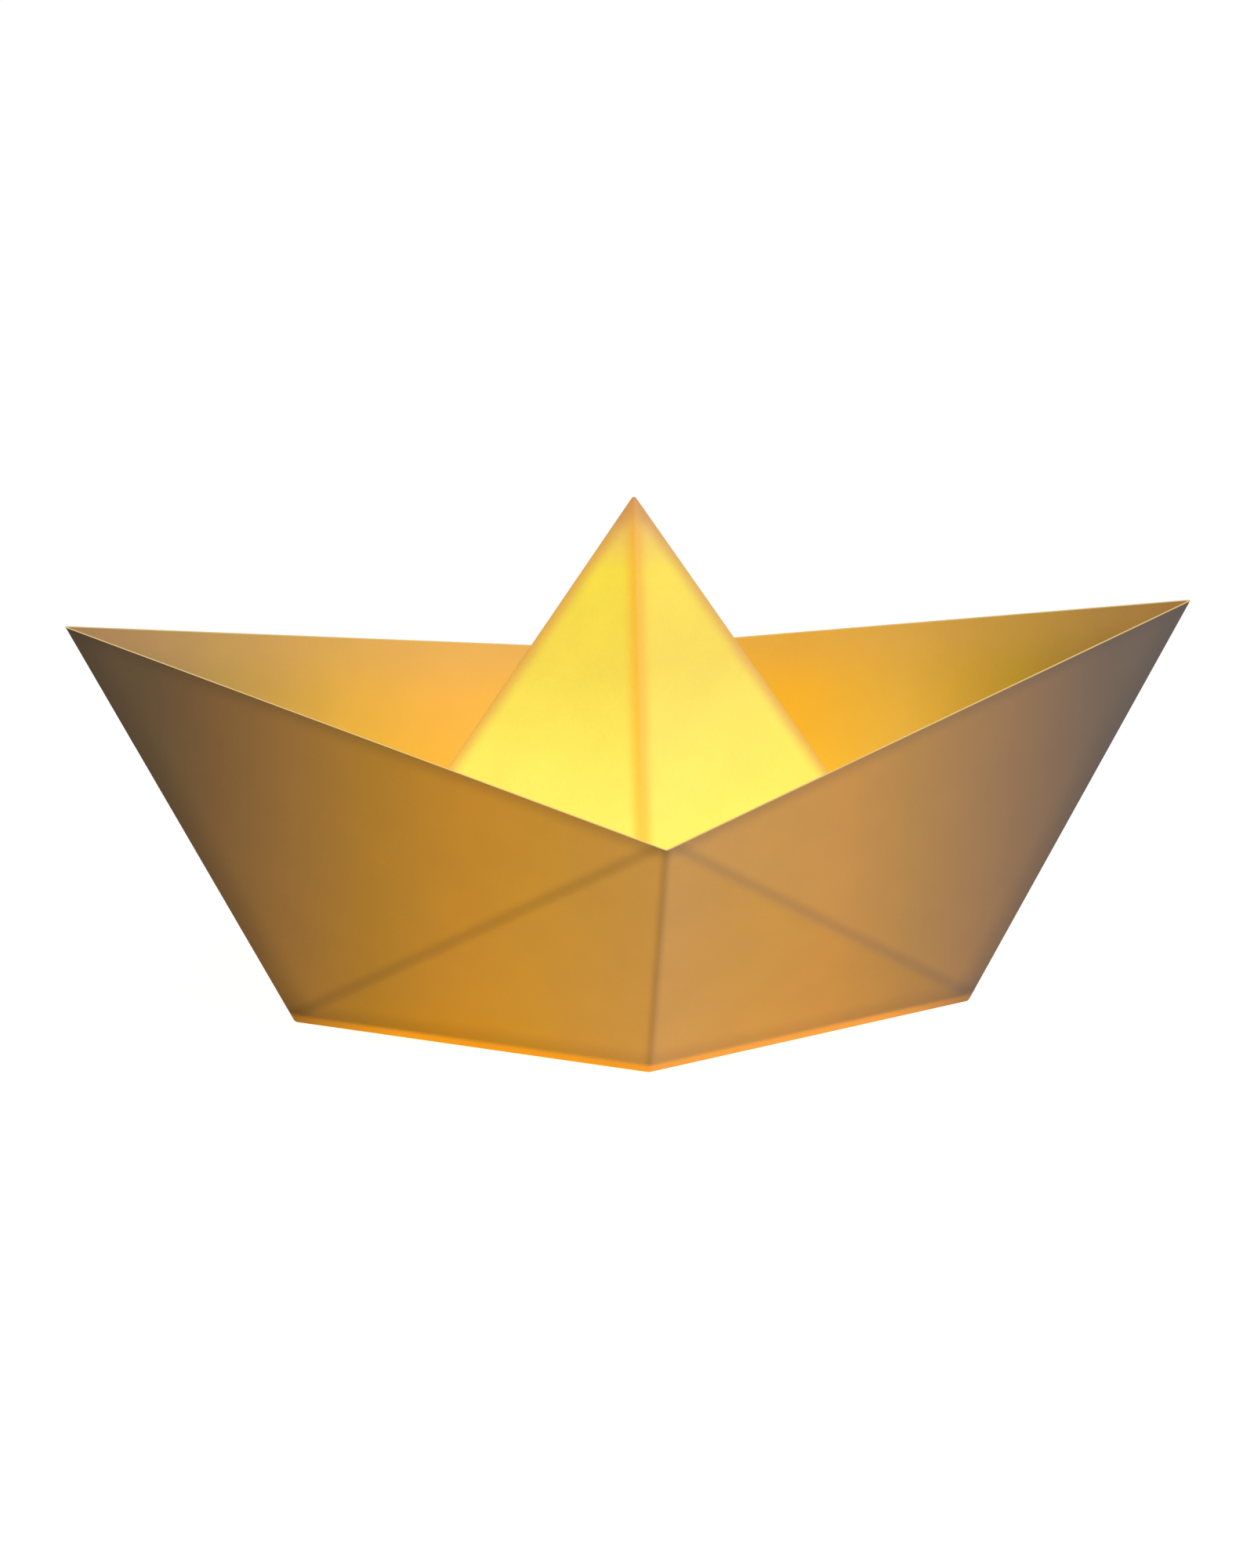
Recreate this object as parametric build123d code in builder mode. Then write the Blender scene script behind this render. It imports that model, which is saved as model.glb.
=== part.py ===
from build123d import *
import os

os.makedirs("parts", exist_ok=True)

# A folded paper boat: one creased sheet, a hull with a raised bow and stern
# and, between its sides, a hollow four-sided sail that is open underneath.
# The sheet turns under from the hull's sides into the sail along the bottom
# folds, and the boat stands on those. X runs along the boat, Z is up, and the
# origin is the middle of the footprint, on the ground. Millimetres.

# Paper
sheet = 0.5                 # thickness of the pressed paper
fold_radius = 1.0           # outside of the hull's folds, over the paper

# Hull, from fold centre to fold centre
hull_length = 197.5         # between the tips of bow and stern
tip_height = 75.0           # of the rim at bow and stern
beam = 120.0                # across the rim amidships
rim_height = 51.5           # of the rim amidships, its lowest point
bottom_length = 122.0       # between the feet of the two stems
bottom_width = 60.0         # across the bottom amidships

# Sail, to the sharp inside of its creases
sail_height = 96.0          # its peak above the ground
sail_length = 128.4         # between its end creases, at the bottom folds
sail_width = bottom_width - 2 * fold_radius     # the sheet has turned inwards by one fold

# Blanks that the panels' planes cut down
blank_size = 2 * hull_length
blank_height = 2 * sail_height


def panel(corner, second, third):
    # The plane of one flat panel, facing away from the middle of the boat
    normal = (second - corner).cross(third - corner)
    return Plane(origin=corner, z_dir=normal if normal.dot(corner) > 0 else -normal)


# Each quarter of the boat has two hull panels and one sail panel
hull_panels = []
sail_panels = []
peak = Vector(0, 0, sail_height)
for end in (1, -1):
    tip = Vector(end * hull_length / 2, 0, tip_height)
    foot = Vector(end * bottom_length / 2, 0, fold_radius)
    sail_foot = Vector(end * sail_length / 2, 0, fold_radius)
    for side in (1, -1):
        rim_middle = Vector(0, side * beam / 2, rim_height)
        bottom_middle = Vector(0, side * bottom_width / 2, fold_radius)
        sail_bottom = Vector(0, side * sail_width / 2, fold_radius)
        hull_panels.append(panel(tip, rim_middle, foot))
        hull_panels.append(panel(rim_middle, foot, bottom_middle))
        sail_panels.append(panel(peak, sail_foot, sail_bottom))

# Hull through the centres of its folds, standing on the bottom folds' centres
with BuildPart() as hull_core:
    with Locations((0, 0, fold_radius)):
        Box(blank_size, blank_size, blank_height, align=(Align.CENTER, Align.CENTER, Align.MIN))
    for hull_panel in hull_panels:
        split(bisect_by=hull_panel, keep=Keep.BOTTOM)

# The same sides run on below the ground, for what is open underneath
with BuildPart() as hull_sides:
    Box(blank_size, blank_size, 2 * blank_height)
    for hull_panel in hull_panels:
        split(bisect_by=hull_panel, keep=Keep.BOTTOM)

# The sail's hollow, also open underneath
with BuildPart() as sail_core:
    Box(blank_size, blank_size, 2 * blank_height)
    for sail_panel in sail_panels:
        split(bisect_by=sail_panel, keep=Keep.BOTTOM)

# Rounding a core by one radius and then a smaller one gives a sheet of even
# thickness with concentric folds
with BuildPart() as hull_outside:
    add(hull_core.part)
    offset(amount=fold_radius, kind=Kind.ARC)

with BuildPart() as hull_inside:
    add(hull_core.part)
    offset(amount=fold_radius - sheet, kind=Kind.ARC)

with BuildPart() as sail_outside:
    add(sail_core.part)
    offset(amount=sheet, kind=Kind.ARC)

with BuildPart() as sail_hollow:
    add(hull_sides.part)
    offset(amount=fold_radius - sheet, kind=Kind.ARC)
    add(sail_core.part, mode=Mode.INTERSECT)

# The sail reaches down to the ground inside the hull's outer face
with BuildPart() as sail:
    add(sail_outside.part)
    add(hull_outside.part, mode=Mode.INTERSECT)

with BuildPart() as paper_boat:
    add(hull_outside.part)
    add(hull_inside.part, mode=Mode.SUBTRACT)
    # The rim rises in a straight line from amidships to each tip
    with BuildSketch(Plane.XZ) as rim_cut:
        rise = tip_height - rim_height
        with BuildLine():
            Polyline(
                (0, rim_height),
                (hull_length, rim_height + 2 * rise),
                (hull_length, 0),
                (-hull_length, 0),
                (-hull_length, rim_height + 2 * rise),
                close=True,
            )
        make_face()
    extrude(amount=blank_size, both=True, mode=Mode.INTERSECT)
    add(sail.part)
    add(sail_hollow.part, mode=Mode.SUBTRACT)

paper_boat.part.label = "paper_boat"
export_step(paper_boat.part, "parts/paper_boat.step")
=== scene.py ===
import math
import bpy
from mathutils import Matrix, Vector

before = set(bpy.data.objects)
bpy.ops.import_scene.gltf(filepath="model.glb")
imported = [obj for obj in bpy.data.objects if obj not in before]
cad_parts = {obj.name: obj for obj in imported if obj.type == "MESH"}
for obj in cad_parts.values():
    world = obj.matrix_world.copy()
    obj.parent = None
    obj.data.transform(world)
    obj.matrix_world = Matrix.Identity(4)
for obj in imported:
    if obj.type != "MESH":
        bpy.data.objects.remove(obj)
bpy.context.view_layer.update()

scene = bpy.context.scene
scene.view_settings.view_transform = "Standard"

# Uncoated wood-pulp paper, pressed and left unglazed: matt, and cloudy where the pulp is thicker.
# The sheet is opaque here: the light that shines through the real one is painted on as emission.
boat = {
    # centres of the hull's folds, in mm
    "halfLength": 98.75,
    "tipHeight": 75.0,
    "halfBeam": 60.0,
    "rimHeight": 51.5,
    "halfBottom": 61.0,
    "bottomSide": 30.0,
    "fold": 1.0,                        # radius of the hull's folds
    # the sheet
    "base": "#c9b083",
    "glow": 0.92,                       # strength of the painted glow and painted shade
    "roughness": 0.85,
    "ior": 1.45,
    "specular": 0.3,
    "fibre": 0.35,                      # mm, about ten times as coarse as real fibres, so that it shows
    "fibreRelief": 0.08,                # mm
    "fibreBump": 0.25,
    "cloud": 9.0,                       # mm, thick and thin places in the pulp
    "pulpLeast": 0.81,                  # glow where cloud and speckle are both at their darkest
    "cloudShare": 0.16,
    "speckleShare": 0.22,
    # painted glow and shade, as if lit from inside: colours at mm along the boat, or at mm of height for the
    # sail, dimmer towards the tips and the sail's top
    "reach": 100.0,
    "hullOutside": [
        (0, "#bf8831"), (20, "#bf850f"), (32, "#bd7f04"), (47, "#a47107"),
        (60, "#8d6120"), (74, "#6e4c22"), (84, "#533e24"), (97, "#443524"),
    ],
    "hullInside": [
        (0, "#d29004"), (34, "#d08e04"), (52, "#bf9130"),
        (72, "#86701a"), (86, "#584a20"), (97, "#2a2214"),
    ],
    "sail": [
        (0, "#e8ee71"), (40, "#e8ed69"), (54, "#e9e458"), (68, "#ead747"),
        (84, "#f4de3a"), (91, "#e9c05a"), (94.5, "#ac9367"), (97, "#7a7367"),
    ],
    # painted glow: the bottom fold, bright as if lit from inside
    "bottomFold": "#e6920c",
    # painted light: paler and duller just below the rim on the inside
    "underRim": "#b88a48",
    # painted glow, more orange along the sail's middle crease, and painted shade, browner, at its side edges
    "sailCrease": "#f2a818",
    "sailEdge": "#cf8f45",
    # painted highlight: the cut rim, which faces up, pale and bright
    "cutEdge": "#f2d48c",
    # soft bands of painted shade and painted glow: from and to in mm, with the strength at each
    # painted shade: darker at the middle and diagonal creases, below the rim, by the stems and above the
    # bottom fold
    "middleCreaseShadeBand": (0.0, 1.4, 0.70, 1.0),
    "diagonalCreaseShadeBand": (0.0, 1.29, 0.76, 1.0),
    "rimShadeBand": (0.0, 3.2, 0.72, 1.0),
    "stemShadeBand": (0.0, 7.5, 0.62, 1.0),
    "bottomShadeBand": (2.2, 6.5, 0.78, 1.0),
    # painted glow along the bottom fold, fading towards the ends
    "bottomFoldGlowBand": (1.2, 2.4, 1.0, 0.0),
    "bottomEndsBand": (40.0, 62.0, 1.0, 0.3),
    # painted light, paler, below the rim on the inside
    "underRimBand": (0.0, 12.0, 0.45, 0.0),
    # painted glow along the sail's middle crease, then painted shade at its side edges
    "sailCreaseBand": (0.3, 2.6, 0.62, 0.0),
    "sailEdgeBand": (0.2, 1.7, 0.75, 0.0),
    # the same, but from and to are readings of a panel's plane, then how far a face looks up
    "sailBand": (1.0, 1.012, 1.0, 0.0),
    # painted highlight on faces that look up
    "cutEdgeHighlightBand": (0.90, 0.95, 0.0, 0.75),
}


def toLinear(colour):
    channels = [int(colour[i:i + 2], 16) / 255 for i in (1, 3, 5)]
    return [c / 12.92 if c <= 0.04045 else ((c + 0.055) / 1.055) ** 2.4 for c in channels] + [1.0]


def addNode(tree, kind, settings, inputs):
    node = tree.nodes.new(kind)
    for name, value in settings.items():
        setattr(node, name, value)
    for key, value in inputs.items():
        if isinstance(value, bpy.types.NodeSocket):
            tree.links.new(value, node.inputs[key])
        else:
            node.inputs[key].default_value = value
    return node


def panelSlopes(corner, second, third):
    # weights along, across and up that read 1 all over the panel
    normal = (second - corner).cross(third - corner)
    return normal / normal.dot(corner)


# the paper's own base colour, with a painted glow and painted shade given as emission
def uncoatedPaperPaintedGlow():
    material = bpy.data.materials.new("uncoatedPaperPaintedGlow")
    material.use_nodes = True
    tree = material.node_tree
    tree.nodes.clear()

    # places in mm, and the same folded into one quarter: along, across and up
    place = addNode(tree, "ShaderNodeTexCoord", {}, {}).outputs["Object"]
    inMm = addNode(tree, "ShaderNodeVectorMath", {"operation": "SCALE"}, {0: place, 3: 1000.0}).outputs[0]
    quarter = addNode(tree, "ShaderNodeVectorMath", {"operation": "ABSOLUTE"}, {0: inMm}).outputs[0]
    along, across, height = addNode(tree, "ShaderNodeSeparateXYZ", {}, {0: quarter}).outputs

    # readings of the panels' planes, and distances in mm
    tip = Vector((boat["halfLength"], 0, boat["tipHeight"]))
    foot = Vector((boat["halfBottom"], 0, boat["fold"]))
    rimMiddle = Vector((0, boat["halfBeam"], boat["rimHeight"]))
    bottomMiddle = Vector((0, boat["bottomSide"], boat["fold"]))
    endSlopes = panelSlopes(tip, rimMiddle, foot)
    middleSlopes = panelSlopes(rimMiddle, foot, bottomMiddle)
    rimSlope = (boat["tipHeight"] - boat["rimHeight"]) / boat["halfLength"]
    stemSlope = (boat["halfLength"] - boat["halfBottom"]) / boat["tipHeight"]
    stemStart = boat["halfBottom"] + boat["fold"] * math.hypot(1, stemSlope)
    reading = {}
    for name, weights, start in (
        ("endPanel", endSlopes, 0.0),
        ("middlePanel", middleSlopes, 0.0),
        ("pastDiagonal", (endSlopes - middleSlopes).normalized(), 0.0),
        ("belowRim", (rimSlope, 0, -1), boat["rimHeight"]),
        ("fromStem", (-1, 0, stemSlope), stemStart),
    ):
        weighed = addNode(tree, "ShaderNodeVectorMath", {"operation": "DOT_PRODUCT"},
                          {0: quarter, 1: weights})
        summed = addNode(tree, "ShaderNodeMath", {"operation": "ADD"},
                         {0: weighed.outputs["Value"], 1: start})
        reading[name] = summed.outputs[0]
    wall = addNode(tree, "ShaderNodeMath", {"operation": "MAXIMUM"},
                   {0: reading["endPanel"], 1: reading["middlePanel"]})
    diagonal = addNode(tree, "ShaderNodeMath", {"operation": "ABSOLUTE"}, {0: reading["pastDiagonal"]})

    # the hull's outside faces away from the middle, and the cut rim almost straight up
    facing = addNode(tree, "ShaderNodeNewGeometry", {}, {}).outputs["True Normal"]
    upward = addNode(tree, "ShaderNodeSeparateXYZ", {}, {0: facing}).outputs[2]
    level = addNode(tree, "ShaderNodeVectorMath", {"operation": "MULTIPLY"}, {0: inMm, 1: (1, 1, 0)})
    outward = addNode(tree, "ShaderNodeVectorMath", {"operation": "DOT_PRODUCT"},
                      {0: facing, 1: level.outputs[0]})
    isOutside = addNode(tree, "ShaderNodeMath", {"operation": "GREATER_THAN"},
                        {0: outward.outputs["Value"], 1: 0.0})

    band = {}
    for name, distance in (
        ("middleCreaseShadeBand", along),
        ("diagonalCreaseShadeBand", diagonal.outputs[0]),
        ("rimShadeBand", reading["belowRim"]),
        ("stemShadeBand", reading["fromStem"]),
        ("bottomShadeBand", height),
        ("bottomFoldGlowBand", height),
        ("bottomEndsBand", along),
        ("underRimBand", reading["belowRim"]),
        ("sailCreaseBand", along),
        ("sailEdgeBand", across),
        ("sailBand", wall.outputs[0]),
        ("cutEdgeHighlightBand", upward),
    ):
        near, far, atNear, atFar = boat[name]
        eased = addNode(tree, "ShaderNodeMapRange", {"interpolation_type": "SMOOTHSTEP"},
                        {"Value": distance, "From Min": near, "From Max": far,
                         "To Min": atNear, "To Max": atFar})
        band[name] = eased.outputs[0]

    # painted glow: colours of the light from inside, along the hull and up the sail
    painted = {}
    for name, distance in (("hullOutside", along), ("hullInside", along), ("sail", height)):
        share = addNode(tree, "ShaderNodeMath", {"operation": "DIVIDE"}, {0: distance, 1: boat["reach"]})
        ramp = addNode(tree, "ShaderNodeValToRGB", {}, {0: share.outputs[0]})
        stops = ramp.color_ramp.elements
        while len(stops) < len(boat[name]):
            stops.new(0.5)
        for stop, (distanceMm, colour) in zip(stops, boat[name]):
            stop.position = distanceMm / boat["reach"]
            stop.color = toLinear(colour)
        painted[name] = ramp.outputs[0]

    # hull outside: painted shade at the creases, the rim, the stems and above the bottom fold, and a painted
    # glow on the bottom fold, which is bright
    shade = 1.0
    for name in ("middleCreaseShadeBand", "diagonalCreaseShadeBand", "rimShadeBand", "stemShadeBand", "bottomShadeBand"):
        darker = addNode(tree, "ShaderNodeMath", {"operation": "MULTIPLY"}, {0: shade, 1: band[name]})
        shade = darker.outputs[0]
    atBottom = addNode(tree, "ShaderNodeMath", {"operation": "MULTIPLY"},
                       {0: band["bottomFoldGlowBand"], 1: band["bottomEndsBand"]})
    outside = addNode(tree, "ShaderNodeMix", {"data_type": "RGBA", "blend_type": "MULTIPLY"},
                      {0: 1.0, 6: painted["hullOutside"], 7: shade})

    # each colour goes over the one before it, by its share
    layers = {"outside": outside.outputs[2], "inside": painted["hullInside"], "sail": painted["sail"]}
    for name, share, colour in (
        # painted glow on the bottom fold
        ("outside", atBottom.outputs[0], boat["bottomFold"]),
        ("inside", band["underRimBand"], boat["underRim"]),
        ("sail", band["sailCreaseBand"], boat["sailCrease"]),
        ("sail", band["sailEdgeBand"], boat["sailEdge"]),
    ):
        layer = addNode(tree, "ShaderNodeMix", {"data_type": "RGBA"},
                        {0: share, 6: layers[name], 7: toLinear(colour)})
        layers[name] = layer.outputs[2]
    glow = layers["inside"]
    for share, colour in (
        (isOutside.outputs[0], layers["outside"]),
        # painted highlight on the cut rim
        (band["cutEdgeHighlightBand"], toLinear(boat["cutEdge"])),
        (band["sailBand"], layers["sail"]),
    ):
        layer = addNode(tree, "ShaderNodeMix", {"data_type": "RGBA"}, {0: share, 6: glow, 7: colour})
        glow = layer.outputs[2]

    # pulp: cloudy at a few millimetres, speckled at the fibres
    cloud = addNode(tree, "ShaderNodeTexNoise", {},
                    {"Vector": inMm, "Scale": 1 / boat["cloud"], "Detail": 4.0}).outputs["Fac"]
    speckle = addNode(tree, "ShaderNodeTexNoise", {},
                      {"Vector": inMm, "Scale": 1 / boat["fibre"], "Detail": 3.0}).outputs["Fac"]
    pulp = boat["pulpLeast"]
    for noise, share in ((cloud, boat["cloudShare"]), (speckle, boat["speckleShare"])):
        pulp = addNode(tree, "ShaderNodeMath", {"operation": "MULTIPLY_ADD"},
                       {0: noise, 1: share, 2: pulp}).outputs[0]
    glow = addNode(tree, "ShaderNodeMix", {"data_type": "RGBA", "blend_type": "MULTIPLY"},
                   {0: 1.0, 6: glow, 7: pulp}).outputs[2]
    bump = addNode(tree, "ShaderNodeBump", {},
                   {"Strength": boat["fibreBump"], "Distance": boat["fibreRelief"] / 1000,
                    "Height": speckle})
    surface = addNode(tree, "ShaderNodeBsdfPrincipled", {},
                      {"Base Color": toLinear(boat["base"]), "Roughness": boat["roughness"],
                       "IOR": boat["ior"], "Specular IOR Level": boat["specular"],
                       "Normal": bump.outputs[0], "Emission Color": glow, "Emission Strength": boat["glow"]})
    addNode(tree, "ShaderNodeOutputMaterial", {}, {0: surface.outputs[0]})
    return material


# The CAD node keeps its shape and gets its paper
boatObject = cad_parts["paper_boat"]
boatObject.data.materials.clear()
boatObject.data.materials.append(uncoatedPaperPaintedGlow())
print("paper on the boat")

room = {
    "floorSize": 12.0,                  # metres
    "floor": "#e8e8e8",
    "floorGlow": 0.95,
    "dimLight": 0.05,
    "lightsAim": (0.0, 0.0, 0.05),
    "lights": {
        "softTop": {"place": (-0.3, -0.5, 1.3), "size": 1.2, "power": 0.8, "colour": "#fff6ea"},
        "coolSide": {"place": (1.1, -0.5, 0.5), "size": 0.6, "power": 5.0, "colour": "#9db4ff"},
    },
}


def paleFloor():
    # bright to the eye, but not a lamp under the boat
    material = bpy.data.materials.new("paleFloor")
    material.use_nodes = True
    tree = material.node_tree
    tree.nodes.clear()
    matt = addNode(tree, "ShaderNodeBsdfDiffuse", {}, {0: toLinear(room["floor"])}).outputs[0]
    bright = addNode(tree, "ShaderNodeEmission", {}, {0: (1, 1, 1, 1), 1: room["floorGlow"]}).outputs[0]
    both = addNode(tree, "ShaderNodeAddShader", {}, {0: matt, 1: bright}).outputs[0]
    seen = addNode(tree, "ShaderNodeLightPath", {}, {}).outputs["Is Camera Ray"]
    mixed = addNode(tree, "ShaderNodeMixShader", {}, {0: seen, 1: matt, 2: both}).outputs[0]
    addNode(tree, "ShaderNodeOutputMaterial", {}, {0: mixed})
    return material


bpy.ops.mesh.primitive_plane_add(size=room["floorSize"], location=(0, 0, 0))
floor = bpy.context.object
floor.name = "floor"
floor.data.materials.append(paleFloor())
print("floor laid")

world = bpy.data.worlds.new("softRoom")
scene.world = world
world.use_nodes = True
background = world.node_tree.nodes["Background"]
background.inputs["Color"].default_value = (1, 1, 1, 1)
background.inputs["Strength"].default_value = room["dimLight"]

for name, lamp in room["lights"].items():
    data = bpy.data.lights.new(name, "AREA")
    data.size = lamp["size"]
    data.energy = lamp["power"]
    data.color = toLinear(lamp["colour"])[:3]
    light = bpy.data.objects.new(name, data)
    light.location = lamp["place"]
    aim = Vector(room["lightsAim"]) - Vector(lamp["place"])
    light.rotation_euler = aim.to_track_quat("-Z", "Y").to_euler()
    scene.collection.objects.link(light)
print("lights on")

# Camera a little above the rim, almost square to the boat's side: degrees, metres, and the lens in mm
view = {
    "turn": -5.03,
    "rise": 17.77,
    "distance": 0.7866,
    "aside": -0.00122,
    "up": 0.04149,
    "lens": 99.0,
    "nearest": 0.01,
}
turn = math.radians(view["turn"])
rise = math.radians(view["rise"])
back = Vector((math.sin(turn) * math.cos(rise), -math.cos(turn) * math.cos(rise), math.sin(rise)))
right = Vector((math.cos(turn), math.sin(turn), 0))
up = back.cross(right)
eye = right * view["aside"] + up * view["up"] + back * view["distance"]
cameraData = bpy.data.cameras.new("camera")
cameraData.lens = view["lens"]
cameraData.clip_start = view["nearest"]
camera = bpy.data.objects.new("camera", cameraData)
camera.matrix_world = Matrix.Translation(eye) @ Matrix((right, up, back)).transposed().to_4x4()
scene.collection.objects.link(camera)
scene.camera = camera
print("camera set")
